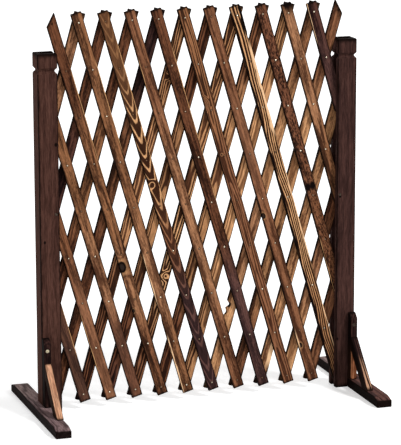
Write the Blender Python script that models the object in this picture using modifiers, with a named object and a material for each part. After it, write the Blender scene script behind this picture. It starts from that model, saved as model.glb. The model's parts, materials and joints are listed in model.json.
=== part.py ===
"""An expandable wooden trellis that stands between two slotted posts.

Front slats lean one way and back slats lean the other. A nail through every crossing
holds a front slat to a back slat and lets them turn, so the lattice opens and folds
like scissors. The middle row hangs on a pin in each post, inside a slot that hides the
slat ends. Each post stands on a long foot and is steadied by a leg and a slanting strut.

Units are metres, Z is up, Y runs from the front to the back, and the origin is on the
floor midway between the posts.
"""

import math

import bmesh
import bpy
from mathutils import Matrix

# How closely pieces sit
SEAT_GAP = 0.0003
TURN_PLAY = 0.0004
CUT_OVERRUN = 0.004
WELD_DISTANCE = 0.000001

# The lattice: rows of crossings run down it, columns run along it in half diamonds
ROWS = 8
COLUMNS = 22
NAIL_PITCH = 0.109
SLAT_WIDTH = 0.025
SLAT_THICKNESS = 0.008
SLAT_EDGE = 0.0006
SLAT_TOP_END = 0.022
SLAT_BOTTOM_END = 0.017
MITRE_REACH = 0.0085
REST_ANGLE = math.radians(73.87)
FOLD_GAP = 0.0015
FLOOR_CLEARANCE = 0.0039

# The nail at a crossing, driven from the front and peened over at the back
NAIL_HEAD_RADIUS = 0.0023
NAIL_HEAD_HEIGHT = 0.0008
NAIL_BITE = 0.0005
NAIL_SHANK_RADIUS = 0.0012
NAIL_TAIL_RADIUS = 0.0022
NAIL_TAIL_HEIGHT = 0.001
NAIL_SIDES = 6

# The post, its slot and the band cut round it below the top
POST_SIDE = 0.045
POST_HEIGHT = 0.811
POST_EDGE = 0.002
PIVOT_INSET = 0.0073
SLOT_PLAY = 0.0008
SLOT_END_CLEARANCE = 0.0021
BAND_DROP = 0.038
BAND_HEIGHT = 0.014
BAND_FLOOR = 0.003
BAND_DEPTH = 0.005

# The foot, which reaches further in front of the lattice than behind it
FOOT_LENGTH = 0.4
FOOT_WIDTH = 0.035
FOOT_HEIGHT = 0.022
FOOT_FORWARD = 0.008
FOOT_NOSE_HEIGHT = 0.0155
FOOT_NOSE_RUN = 0.024
FOOT_EDGE = 0.0012

# The leg that stands against the post, and the strut that props it
BRACE_WIDTH = 0.0155
BRACE_EDGE = 0.0008
LEG_DEPTH = 0.0195
LEG_HEIGHT = 0.156
LEG_CHAMFER_RUN = 0.012
LEG_CHAMFER_DROP = 0.011
STRUT_RISE = 0.102
STRUT_DEPTH = 0.0226
STRUT_ANGLE = math.radians(45)

# The pin that the lattice hangs on
PIN_RADIUS = 0.0017
PIN_HEAD_RADIUS = 0.0034
PIN_HEAD_HEIGHT = 0.0018
PIN_SINK = 0.0012
PIN_COVER = 0.005
PIN_POINT = 0.003
PIN_SIDES = 12

# The bolt through the top of the leg
BOLT_RADIUS = 0.0023
BOLT_HEAD_RADIUS = 0.0045
BOLT_HEAD_HEIGHT = 0.003
BOLT_HEAD_ROUND = 0.0008
BOLT_SINK = 0.0006
BOLT_LENGTH = 0.031
BOLT_BELOW_TOP = 0.026
BOLT_SOCKET_RADIUS = 0.0019
BOLT_SOCKET_DEPTH = 0.0018
BOLT_SIDES = 16
SOCKET_SIDES = 6

# The screws that come up through the foot
SCREW_RADIUS = 0.0019
SCREW_HEAD_RADIUS = 0.0038
SCREW_HEAD_HEIGHT = 0.0026
SCREW_SINK = 0.0006
SCREW_POINT = 0.004
SCREW_SIDES = 12
POST_SCREW_HOLD = 0.032
POST_SCREW_INSET = 0.008
STRUT_SCREW_HOLD = 0.011

# Colours are linear red, green and blue
WOODS = {
    "post_wood": (0.062, 0.034, 0.027),
    "foot_wood": (0.085, 0.058, 0.054),
    "brace_wood": (0.31, 0.16, 0.085),
    "slat_dark": (0.075, 0.040, 0.030),
    "slat_brown": (0.120, 0.060, 0.034),
    "slat_red": (0.150, 0.058, 0.036),
    "slat_tan": (0.240, 0.125, 0.060),
}
WOOD_ROUGHNESS = 0.62
STEEL_COLOUR = (0.62, 0.58, 0.50)
STEEL_ROUGHNESS = 0.35
# One letter a slat, from the left: d dark, b brown, r red, t tan
TONE_NAMES = {"d": "slat_dark", "b": "slat_brown", "r": "slat_red", "t": "slat_tan"}
FRONT_TONES = "dbddbtrdtrtdbd"
BACK_TONES = "tbbdbbtbbdbtdb"

# Sizes that follow from the ones above
FOLDED_ANGLE = (math.pi - math.asin((SLAT_WIDTH + FOLD_GAP) / NAIL_PITCH)) / 2
PIVOT_ROW = ROWS // 2
PIVOT_HEIGHT = (
    (PIVOT_ROW * NAIL_PITCH + SLAT_BOTTOM_END) * math.sin(FOLDED_ANGLE)
    + SLAT_WIDTH / 2 * math.cos(FOLDED_ANGLE)
    + FLOOR_CLEARANCE
)
COLUMN_STEP = NAIL_PITCH * math.cos(REST_ANGLE)
HALF_SPAN = COLUMNS / 2 * COLUMN_STEP
SLAT_INNER_FACE = SEAT_GAP / 2
SLAT_OUTER_FACE = SLAT_INNER_FACE + SLAT_THICKNESS
NAIL_PROUD = SEAT_GAP + NAIL_TAIL_HEIGHT
NAIL_HOLE_RADIUS = NAIL_SHANK_RADIUS + TURN_PLAY
SLOT_DEPTH = PIVOT_INSET + math.hypot(SLAT_TOP_END, SLAT_WIDTH / 2) + SLOT_END_CLEARANCE
SLOT_WIDTH = 2 * (SLAT_OUTER_FACE + NAIL_PROUD + SLOT_PLAY)
POST_INNER = -PIVOT_INSET
POST_OUTER = POST_SIDE - PIVOT_INSET
POST_MIDDLE = (POST_INNER + POST_OUTER) / 2
WEB_THICKNESS = POST_SIDE - SLOT_DEPTH
FLOOR = -PIVOT_HEIGHT
FOOT_TOP = FLOOR + FOOT_HEIGHT
FOOT_INNER = POST_OUTER - BRACE_WIDTH
FOOT_MIDDLE = FOOT_INNER + FOOT_WIDTH / 2
BRACE_MIDDLE = POST_OUTER - BRACE_WIDTH / 2
BRACE_SEAT = FOOT_TOP + SEAT_GAP
LEG_BACK = -POST_SIDE / 2 - SEAT_GAP
LEG_FRONT = LEG_BACK - LEG_DEPTH


def clear_scene():
    """Remove the scene's objects, so that the model starts from nothing."""
    for thing in list(bpy.data.objects):
        bpy.data.objects.remove(thing)


def make_collection(name):
    """A new collection in the scene."""
    collection = bpy.data.collections.new(name)
    bpy.context.scene.collection.children.link(collection)
    return collection


def make_material(name, colour, roughness, metallic):
    """A plain finish from one Principled BSDF."""
    material = bpy.data.materials.new(name)
    material.use_nodes = True
    shader = material.node_tree.nodes["Principled BSDF"]
    shader.inputs["Base Color"].default_value = (*colour, 1)
    shader.inputs["Roughness"].default_value = roughness
    shader.inputs["Metallic"].default_value = metallic
    material.diffuse_color = (*colour, 1)
    return material


def add_object(name, data, group, parent, location=(0, 0, 0), rotation=(0, 0, 0)):
    """An object of a collection, placed in its parent's frame."""
    thing = bpy.data.objects.new(name, data)
    group.objects.link(thing)
    thing.parent = parent
    thing.location = location
    thing.rotation_euler = rotation
    return thing


def as_cutter(thing):
    """Mark an object as a helper that only shapes other pieces."""
    thing.hide_render = True
    thing.display_type = "WIRE"
    return thing


def block_mesh(name, size):
    """A box about its own centre."""
    mesh = bpy.data.meshes.new(name)
    bm = bmesh.new()
    bmesh.ops.create_cube(bm, size=1, matrix=Matrix.Diagonal((*size, 1)))
    bm.to_mesh(mesh)
    bm.free()
    return mesh


def board_mesh(name, outline, thickness, middle=0.0):
    """A flat outline in X and Z, made solid along Y about the middle."""
    curve = bpy.data.curves.new(name, "CURVE")
    curve.dimensions = "2D"
    curve.fill_mode = "BOTH"
    curve.extrude = thickness / 2
    spline = curve.splines.new("POLY")
    spline.points.add(len(outline) - 1)
    for point, (x, z) in zip(spline.points, outline):
        point.co = (x, z, 0, 1)
    spline.use_cyclic_u = True
    flat = bpy.data.objects.new(name, curve)
    bpy.context.scene.collection.objects.link(flat)
    graph = bpy.context.evaluated_depsgraph_get()
    mesh = bpy.data.meshes.new_from_object(flat.evaluated_get(graph))
    bpy.data.objects.remove(flat)
    bm = bmesh.new()
    bm.from_mesh(mesh)
    bmesh.ops.remove_doubles(bm, verts=bm.verts, dist=WELD_DISTANCE)
    upright = Matrix.Translation((0, middle, 0)) @ Matrix.Rotation(math.pi / 2, 4, "X")
    bmesh.ops.transform(bm, matrix=upright, verts=bm.verts)
    bmesh.ops.recalc_face_normals(bm, faces=bm.faces)
    bm.to_mesh(mesh)
    bm.free()
    return mesh


def profile_mesh(name, profile):
    """An open line of (radius, height) points, to be turned round the Z axis."""
    mesh = bpy.data.meshes.new(name)
    points = [(radius, 0, height) for radius, height in profile]
    edges = [(index, index + 1) for index in range(len(points) - 1)]
    mesh.from_pydata(points, edges, [])
    return mesh


def turn(thing, sides):
    """Turn a profile, which runs from its top to its bottom, into a solid."""
    screw = thing.modifiers.new("turned", "SCREW")
    screw.steps = sides
    screw.render_steps = sides
    screw.use_merge_vertices = True
    screw.merge_threshold = WELD_DISTANCE


def repeat(thing, count, step):
    """Copies of a shape in a row along its own X axis."""
    array = thing.modifiers.new("row", "ARRAY")
    array.use_relative_offset = False
    array.use_constant_offset = True
    array.constant_offset_displace = (step, 0, 0)
    array.count = count


def ease_edges(thing, width):
    """A small flat along every sharp edge."""
    bevel = thing.modifiers.new("eased edges", "BEVEL")
    bevel.width = width
    bevel.segments = 1
    bevel.limit_method = "ANGLE"


def combine(thing, helper, operation):
    """Join a helper to a piece, or cut the piece with it."""
    boolean = thing.modifiers.new(helper.name, "BOOLEAN")
    boolean.operation = operation
    boolean.object = helper


def cut_block(name, low, high, parent):
    """A box-shaped cutter between two corners of its parent's frame."""
    size = [top - bottom for bottom, top in zip(low, high)]
    centre = [(top + bottom) / 2 for bottom, top in zip(low, high)]
    return as_cutter(add_object(name, block_mesh(name, size), cutters, parent, centre))


def between(side, first, second):
    """Two distances outward from a pivot as a low and a high X."""
    return sorted((side * first, side * second))


def crossing_rows(slat, others):
    """The rows at which a slat crosses the slats of the other layer."""
    rows = []
    for other in others:
        row = (slat["start"] - other["start"]) // 2 * (-1 if slat["front"] else 1)
        inside = all(one["first"] <= row <= one["last"] for one in (slat, other))
        if inside:
            rows.append((row, other))
    return sorted(rows, key=lambda pair: pair[0])


def plan_slats():
    """Every slat's layer, the column it meets the top row at, and its first and last row."""
    front = []
    for number, start in enumerate(range(2 - ROWS, COLUMNS, 2), 1):
        front.append({
            "name": f"front_slat_{number:02d}", "front": True, "start": start,
            "first": max(0, -start), "last": min(ROWS, COLUMNS - start),
            "mitred": start == 0, "tone": FRONT_TONES[(number - 1) % len(FRONT_TONES)],
        })
    back = []
    for number, start in enumerate(range(2, COLUMNS + ROWS, 2), 1):
        back.append({
            "name": f"back_slat_{number:02d}", "front": False, "start": start,
            "first": max(0, start - COLUMNS), "last": min(ROWS, start),
            "mitred": start == COLUMNS, "tone": BACK_TONES[(number - 1) % len(BACK_TONES)],
        })
    return front, back


def plan_carriers(front, back):
    """Which slat carries which, spreading out from the back slat on the left post's pin."""
    first = next(slat for slat in back if slat["start"] == PIVOT_ROW)
    first.update(carrier=None, joint_row=PIVOT_ROW)
    waiting = [first]
    reached = [first]
    while waiting:
        carrier = waiting.pop(0)
        for row, slat in crossing_rows(carrier, back if carrier["front"] else front):
            if slat not in reached:
                slat.update(carrier=carrier, joint_row=row)
                waiting.append(slat)
                reached.append(slat)
    return reached


def along(slat, row):
    """The distance of a row from a slat's own joint, along the slat to the right."""
    rows_down = row - slat["joint_row"]
    return NAIL_PITCH * (rows_down if slat["front"] else -rows_down)


def slat_outline(slat):
    """A slat's outline in its own frame, with square ends or one mitred top."""
    ends = sorted((along(slat, slat["first"]), along(slat, slat["last"])))
    left_end = SLAT_TOP_END if slat["front"] else SLAT_BOTTOM_END
    right_end = SLAT_BOTTOM_END if slat["front"] else SLAT_TOP_END
    left, right = ends[0] - left_end, ends[1] + right_end
    half = SLAT_WIDTH / 2
    mitre = half if slat["mitred"] else 0.0
    if slat["mitred"] and slat["front"]:
        left = ends[0] - MITRE_REACH
    elif slat["mitred"]:
        right = ends[1] + MITRE_REACH
    left_lean = mitre if slat["front"] else 0.0
    right_lean = 0.0 if slat["front"] else mitre
    return [
        (left + left_lean, -half), (right - right_lean, -half),
        (right + right_lean, half), (left - left_lean, half),
    ]


def place_slat(slat, stand):
    """Where a slat sits in its carrier's frame, and how far it turns from it."""
    carrier = slat["carrier"]
    if carrier is None:
        return stand, (0, 0, 0), (0, -REST_ANGLE, 0)
    turn_from_carrier = 2 * REST_ANGLE if slat["front"] else -2 * REST_ANGLE
    spot = (along(carrier, slat["joint_row"]), 0, 0)
    return carrier["object"], spot, (0, turn_from_carrier, 0)


def nail_profile():
    """A nail from its tail at the back to its head at the front, top to bottom."""
    tail_seat = SLAT_OUTER_FACE + SEAT_GAP
    return [
        (0, tail_seat + NAIL_TAIL_HEIGHT),
        (NAIL_TAIL_RADIUS, tail_seat + NAIL_TAIL_HEIGHT),
        (NAIL_TAIL_RADIUS, tail_seat),
        (NAIL_SHANK_RADIUS, tail_seat),
        (NAIL_SHANK_RADIUS, -SLAT_OUTER_FACE + NAIL_BITE),
        (NAIL_HEAD_RADIUS, -SLAT_OUTER_FACE + NAIL_BITE),
        (NAIL_HEAD_RADIUS, -SLAT_OUTER_FACE - NAIL_HEAD_HEIGHT),
        (0, -SLAT_OUTER_FACE - NAIL_HEAD_HEIGHT),
    ]


def hole_profile(radius):
    """A plain hole through both layers of the lattice."""
    reach = SLAT_OUTER_FACE + CUT_OVERRUN
    return [(0, reach), (radius, reach), (radius, -reach), (0, -reach)]


def row_of_turnings(name, profile, slat, rows):
    """The same turned shape at a run of rows of one slat, square to its face."""
    places = sorted(along(slat, row) for row in rows)
    helper = add_object(
        name, profile_mesh(name, profile), cutters, slat["object"],
        (places[0], 0, 0), (-math.pi / 2, 0, 0),
    )
    turn(helper, NAIL_SIDES)
    repeat(helper, len(places), NAIL_PITCH)
    return as_cutter(helper)


def make_slat(slat, others, stand):
    """One slat with its nails if it is at the front, or its nail holes if at the back."""
    middle = (SLAT_INNER_FACE + SLAT_OUTER_FACE) / 2 * (-1 if slat["front"] else 1)
    mesh = board_mesh(slat["name"], slat_outline(slat), SLAT_THICKNESS, middle)
    parent, location, rotation = place_slat(slat, stand)
    thing = add_object(slat["name"], mesh, trellis, parent, location, rotation)
    thing.data.materials.append(finishes[TONE_NAMES[slat["tone"]]])
    slat["object"] = thing
    ease_edges(thing, SLAT_EDGE)
    rows = [row for row, _ in crossing_rows(slat, others)]
    pinned = [row for row in rows if row == PIVOT_ROW and column(slat, row) in (0, COLUMNS)]
    nailed = [row for row in rows if row not in pinned]
    if slat["front"]:
        nails = row_of_turnings(f"nails_{slat['name']}", nail_profile(), slat, nailed)
        combine(thing, nails, "UNION")
    else:
        profile = hole_profile(NAIL_HOLE_RADIUS)
        holes = row_of_turnings(f"nail_holes_{slat['name']}", profile, slat, nailed)
        combine(thing, holes, "DIFFERENCE")
    for row in pinned:
        profile = hole_profile(PIN_RADIUS + TURN_PLAY)
        hole = row_of_turnings(f"pin_hole_{slat['name']}", profile, slat, [row])
        combine(thing, hole, "DIFFERENCE")


def column(slat, row):
    """The column at which a slat passes a row."""
    return slat["start"] + row if slat["front"] else slat["start"] - row


def countersunk_profile(length, radius, head_radius, head_height, point):
    """A pin or screw from the middle of its flat head, at the top, down to its point."""
    return [
        (0, 0), (head_radius, 0), (radius, -head_height),
        (radius, point - length), (0, -length),
    ]


def drilled_profile(profile):
    """The hole for a fastener: one seat gap larger, and straight from its widest to its mouth."""
    radii = [radius for radius, _ in profile]
    widest = max(radii)
    shoulder = len(radii) - 1 - radii[::-1].index(widest)
    wall = [(radius + SEAT_GAP, height - SEAT_GAP) for radius, height in profile[shoulder:-1]]
    mouth = [(0, CUT_OVERRUN), (widest + SEAT_GAP, CUT_OVERRUN)]
    return mouth + wall + [(0, profile[-1][1] - SEAT_GAP)]


def make_fastener(name, profile, sides, stand, location, rotation, pieces):
    """A turned fastener, and its hole through the pieces that it holds together."""
    thing = add_object(name, profile_mesh(name, profile), trellis, stand, location, rotation)
    turn(thing, sides)
    thing.data.materials.append(finishes["steel"])
    hole = profile_mesh(f"hole_{name}", drilled_profile(profile))
    drill = as_cutter(add_object(f"hole_{name}", hole, cutters, stand, location, rotation))
    turn(drill, sides)
    for piece in pieces:
        combine(piece, drill, "DIFFERENCE")
    return thing


def band_profile():
    """The groove round the post as a section at its corner, wide outside and narrow inside."""
    corner = math.sqrt(2)
    outside = (POST_SIDE / 2 + CUT_OVERRUN) * corner
    inside = (POST_SIDE / 2 - BAND_DEPTH) * corner
    slope = (BAND_HEIGHT - BAND_FLOOR) / 2 / BAND_DEPTH
    half_mouth = BAND_HEIGHT / 2 + slope * CUT_OVERRUN
    return [
        (outside, half_mouth), (outside, -half_mouth),
        (inside, -BAND_FLOOR / 2), (inside, BAND_FLOOR / 2),
    ]


def cut_band(post, word, stand, side):
    """Cut the V-shaped band round a post: a closed section turned in four steps."""
    name = f"band_{word}"
    mesh = bpy.data.meshes.new(name)
    points = [(radius, 0, height) for radius, height in band_profile()]
    mesh.from_pydata(points, [(0, 1), (1, 2), (2, 3), (3, 0)], [])
    height = FLOOR + POST_HEIGHT - BAND_DROP
    ring = add_object(
        name, mesh, cutters, stand, (side * POST_MIDDLE, 0, height), (0, 0, math.pi / 4)
    )
    turn(ring, 4)
    combine(post, as_cutter(ring), "DIFFERENCE")


def make_post(side, word, stand):
    """A square post with its slot, its notch over the foot and its band."""
    name = f"post_{word}"
    size = (POST_SIDE, POST_SIDE, POST_HEIGHT)
    centre = (side * POST_MIDDLE, 0, FLOOR + POST_HEIGHT / 2)
    post = add_object(name, block_mesh(name, size), trellis, stand, centre)
    post.data.materials.append(finishes["post_wood"])
    ease_edges(post, POST_EDGE)
    low_x, high_x = between(side, POST_INNER - CUT_OVERRUN, POST_INNER + SLOT_DEPTH)
    slot = cut_block(
        f"slot_{word}",
        (low_x, -SLOT_WIDTH / 2, FLOOR - CUT_OVERRUN),
        (high_x, SLOT_WIDTH / 2, FLOOR + POST_HEIGHT + CUT_OVERRUN), stand,
    )
    combine(post, slot, "DIFFERENCE")
    low_x, high_x = between(side, FOOT_INNER - SEAT_GAP, POST_OUTER + CUT_OVERRUN)
    half = POST_SIDE / 2 + CUT_OVERRUN
    notch = cut_block(
        f"notch_{word}",
        (low_x, -half, FLOOR - CUT_OVERRUN), (high_x, half, FOOT_TOP + SEAT_GAP), stand,
    )
    combine(post, notch, "DIFFERENCE")
    cut_band(post, word, stand, side)
    return post


def make_side_board(name, outline, thickness, middle, wood, stand):
    """A board whose outline is drawn from the side: Y forwards to back, and Z up."""
    mesh = board_mesh(name, outline, thickness)
    quarter = (0, 0, math.pi / 2)
    board = add_object(name, mesh, trellis, stand, (middle, 0, 0), quarter)
    board.data.materials.append(finishes[wood])
    return board


def make_foot(side, word, stand):
    """The long foot, lower at both ends."""
    end = FOOT_LENGTH / 2
    shoulder = end - FOOT_NOSE_RUN
    nose = FLOOR + FOOT_NOSE_HEIGHT
    outline = [
        (-end, FLOOR), (end, FLOOR), (end, nose),
        (shoulder, FOOT_TOP), (-shoulder, FOOT_TOP), (-end, nose),
    ]
    foot = make_side_board(
        f"foot_{word}", outline, FOOT_WIDTH, side * FOOT_MIDDLE, "foot_wood", stand
    )
    foot.location.y = -FOOT_FORWARD
    ease_edges(foot, FOOT_EDGE)
    return foot


def make_leg(side, word, stand):
    """The upright leg against the post's front, with its top sloped to the front."""
    top = FOOT_TOP + LEG_HEIGHT
    outline = [
        (LEG_BACK, BRACE_SEAT), (LEG_BACK, top), (LEG_FRONT + LEG_CHAMFER_RUN, top),
        (LEG_FRONT, top - LEG_CHAMFER_DROP), (LEG_FRONT, BRACE_SEAT),
    ]
    leg = make_side_board(
        f"brace_leg_{word}", outline, BRACE_WIDTH, side * BRACE_MIDDLE, "brace_wood", stand
    )
    ease_edges(leg, BRACE_EDGE)
    return leg


def make_strut(side, word, stand):
    """The slanting strut from the leg's front down to the foot."""
    start = LEG_FRONT - SEAT_GAP
    upper = BRACE_SEAT + STRUT_RISE
    lower = upper - STRUT_DEPTH / math.cos(STRUT_ANGLE)
    run = 1 / math.tan(STRUT_ANGLE)
    outline = [
        (start, upper), (start, lower),
        (start - (lower - BRACE_SEAT) * run, BRACE_SEAT),
        (start - (upper - BRACE_SEAT) * run, BRACE_SEAT),
    ]
    strut = make_side_board(
        f"brace_strut_{word}", outline, BRACE_WIDTH, side * BRACE_MIDDLE, "brace_wood", stand
    )
    ease_edges(strut, BRACE_EDGE)
    base_middle = (outline[2][0] + outline[3][0]) / 2
    return strut, base_middle


def add_pin(word, stand, post):
    """The pin that the middle row turns on, driven from the front through both slot walls."""
    length = POST_SIDE - PIN_SINK - PIN_COVER
    profile = countersunk_profile(
        length, PIN_RADIUS, PIN_HEAD_RADIUS, PIN_HEAD_HEIGHT, PIN_POINT
    )
    front = (0, PIN_SINK - POST_SIDE / 2, 0)
    make_fastener(
        f"pivot_pin_{word}", profile, PIN_SIDES, stand, front, (math.pi / 2, 0, 0), [post]
    )


def add_bolt(side, word, stand, leg, post):
    """The bolt that draws the top of the leg against the post, with a hexagon socket."""
    profile = [
        (0, 0), (BOLT_HEAD_RADIUS - BOLT_HEAD_ROUND, 0),
        (BOLT_HEAD_RADIUS, -BOLT_HEAD_ROUND), (BOLT_HEAD_RADIUS, -BOLT_HEAD_HEIGHT),
        (BOLT_RADIUS, -BOLT_HEAD_HEIGHT), (BOLT_RADIUS, BOLT_RADIUS - BOLT_LENGTH),
        (0, -BOLT_LENGTH),
    ]
    height = FOOT_TOP + LEG_HEIGHT - BOLT_BELOW_TOP
    spot = (side * BRACE_MIDDLE, LEG_FRONT + BOLT_SINK, height)
    facing_front = (math.pi / 2, 0, 0)
    name = f"brace_bolt_{word}"
    bolt = make_fastener(name, profile, BOLT_SIDES, stand, spot, facing_front, [leg, post])
    socket_profile = [
        (0, CUT_OVERRUN), (BOLT_SOCKET_RADIUS, CUT_OVERRUN),
        (BOLT_SOCKET_RADIUS, -BOLT_SOCKET_DEPTH), (0, -BOLT_SOCKET_DEPTH),
    ]
    socket_name = f"socket_{name}"
    socket = add_object(
        socket_name, profile_mesh(socket_name, socket_profile), cutters, stand, spot, facing_front
    )
    turn(socket, SOCKET_SIDES)
    combine(bolt, as_cutter(socket), "DIFFERENCE")


def add_screw(name, x, y, hold, stand, pieces):
    """A countersunk screw up through the foot into the wood above it."""
    length = FOOT_HEIGHT - SCREW_SINK + SEAT_GAP + hold
    profile = countersunk_profile(
        length, SCREW_RADIUS, SCREW_HEAD_RADIUS, SCREW_HEAD_HEIGHT, SCREW_POINT
    )
    spot = (x, y, FLOOR + SCREW_SINK)
    make_fastener(name, profile, SCREW_SIDES, stand, spot, (math.pi, 0, 0), pieces)


def make_stand(side, word, stand):
    """A post with its foot, leg, strut and fasteners; side is -1 on the left, 1 on the right."""
    post = make_post(side, word, stand)
    foot = make_foot(side, word, stand)
    leg = make_leg(side, word, stand)
    strut, strut_base = make_strut(side, word, stand)
    add_pin(word, stand, post)
    add_bolt(side, word, stand, leg, post)
    web_middle = side * (POST_OUTER - WEB_THICKNESS / 2)
    spread = POST_SIDE / 2 - POST_SCREW_INSET
    for place, y in (("front", -spread), ("back", spread)):
        name = f"foot_screw_{word}_{place}"
        add_screw(name, web_middle, y, POST_SCREW_HOLD, stand, [foot, post])
    add_screw(
        f"strut_screw_{word}", side * BRACE_MIDDLE, strut_base, STRUT_SCREW_HOLD,
        stand, [foot, strut],
    )


clear_scene()
trellis = make_collection("expandable_trellis")
cutters = make_collection("cutters")
finishes = {name: make_material(name, colour, WOOD_ROUGHNESS, 0.0) for name, colour in WOODS.items()}
finishes["steel"] = make_material("steel", STEEL_COLOUR, STEEL_ROUGHNESS, 1.0)

left_pivot = (-HALF_SPAN, FOOT_FORWARD, PIVOT_HEIGHT)
left_stand = add_object("left_stand", None, trellis, None, left_pivot)
make_stand(-1, "left", left_stand)

front_slats, back_slats = plan_slats()
for each in plan_carriers(front_slats, back_slats):
    make_slat(each, back_slats if each["front"] else front_slats, left_stand)

last_slat = next(
    slat for slat in front_slats if column(slat, PIVOT_ROW) == COLUMNS
)
right_stand = add_object(
    "right_stand", None, trellis, last_slat["object"],
    (along(last_slat, PIVOT_ROW), 0, 0), (0, -REST_ANGLE, 0),
)
make_stand(1, "right", right_stand)
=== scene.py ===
# %% [markdown]
# # An expandable wooden trellis
#
# A lattice of thin slats is nailed together at its crossings, so it opens and folds like a
# pair of scissors. It hangs on a pin in each of two slotted posts, and each post stands on
# a long foot with a leg and a slanting strut. The wood is pine that was passed through a
# flame, so its soft rings are brown, its hard rings and edges are dark, and its cut ends
# are nearly black.
#
# The solid model comes in first, as a fixed frame. It knows where everything is and how it
# moves. Each step below gives one part of it its visible surface or its finish.

# %% Load the frame
import json
import math

import bmesh
import bpy
import numpy as np
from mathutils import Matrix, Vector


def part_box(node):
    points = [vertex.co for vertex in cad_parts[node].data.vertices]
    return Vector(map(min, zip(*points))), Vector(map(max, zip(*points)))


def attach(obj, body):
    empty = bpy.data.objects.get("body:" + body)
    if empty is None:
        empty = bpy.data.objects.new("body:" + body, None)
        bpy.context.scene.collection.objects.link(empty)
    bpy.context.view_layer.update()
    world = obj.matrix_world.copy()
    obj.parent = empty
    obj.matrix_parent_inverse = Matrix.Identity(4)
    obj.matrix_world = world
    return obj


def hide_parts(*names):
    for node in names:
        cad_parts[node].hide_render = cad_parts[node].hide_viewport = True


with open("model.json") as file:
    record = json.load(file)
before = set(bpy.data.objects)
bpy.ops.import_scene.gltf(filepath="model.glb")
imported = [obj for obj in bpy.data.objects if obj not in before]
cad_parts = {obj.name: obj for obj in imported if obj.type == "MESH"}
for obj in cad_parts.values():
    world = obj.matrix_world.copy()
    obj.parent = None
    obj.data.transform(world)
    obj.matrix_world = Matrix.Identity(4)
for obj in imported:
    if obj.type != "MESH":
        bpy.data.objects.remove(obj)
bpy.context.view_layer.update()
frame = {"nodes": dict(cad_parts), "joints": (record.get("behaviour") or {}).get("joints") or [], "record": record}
nodes = frame["nodes"]

# %% [markdown]
# ## The camera
#
# A long lens far away keeps the posts nearly upright, as in a catalogue picture. A short
# lens close by would frame the same view, but the near foot would swell and the posts would
# lean. The camera is placed by what it looks at: a point in the lattice, how far off it
# stands, how far round to the left and how high.

# %% Place the camera
AIM = (0.0067, 0.008, 0.4086)
CAMERA_DISTANCE = 5.791
CAMERA_AZIMUTH = math.radians(-18.074)
CAMERA_ELEVATION = math.radians(12.311)
CAMERA_ROLL = math.radians(-0.168)
CAMERA_LENS = 208.62
SENSOR_WIDTH = 36.0


def direction(azimuth, elevation):
    """The unit vector from the object towards a place: round from the front, then up."""
    flat = math.cos(elevation)
    return np.array([
        math.sin(azimuth) * flat, -math.cos(azimuth) * flat, math.sin(elevation)
    ])


def aim_matrix(place, target, roll):
    """Columns right, up and backward, for something at a place that looks at a target."""
    backward = place - target
    backward = backward / np.linalg.norm(backward)
    right = np.cross((0.0, 0.0, 1.0), backward)
    right = right / np.linalg.norm(right)
    up = np.cross(backward, right)
    turned_right = right * math.cos(roll) + up * math.sin(roll)
    turned_up = up * math.cos(roll) - right * math.sin(roll)
    matrix = np.eye(4)
    matrix[:3, :4] = np.stack([turned_right, turned_up, backward, place], axis=1)
    return matrix


def place_looking(thing, place, target, roll=0.0):
    """Put a camera or a lamp in the scene, looking at a target."""
    bpy.context.scene.collection.objects.link(thing)
    thing.matrix_world = aim_matrix(np.array(place), np.array(target), roll).T.tolist()


camera = bpy.data.objects.new("camera", bpy.data.cameras.new("camera"))
camera.data.lens = CAMERA_LENS
camera.data.sensor_width = SENSOR_WIDTH
camera_place = np.array(AIM) + direction(CAMERA_AZIMUTH, CAMERA_ELEVATION) * CAMERA_DISTANCE
place_looking(camera, camera_place, AIM, CAMERA_ROLL)
bpy.context.scene.camera = camera
print("camera at", camera_place.round(3))

# %% [markdown]
# ## Nodes with short names
#
# Every finish below is a tree of shader nodes. This small helper adds nodes and links with
# one short call each, so that a finish reads like a recipe. A value given to it may be a
# number or the output of another node. Without it, each node would take four lines to add,
# set and link, and the recipe would be lost between them.

# %% A helper for node trees
# A Mix node holds sockets for every kind of data, and these are the ones for colours.
MIX_COLOURS = (6, 7)
MIX_RESULT = 2


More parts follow.
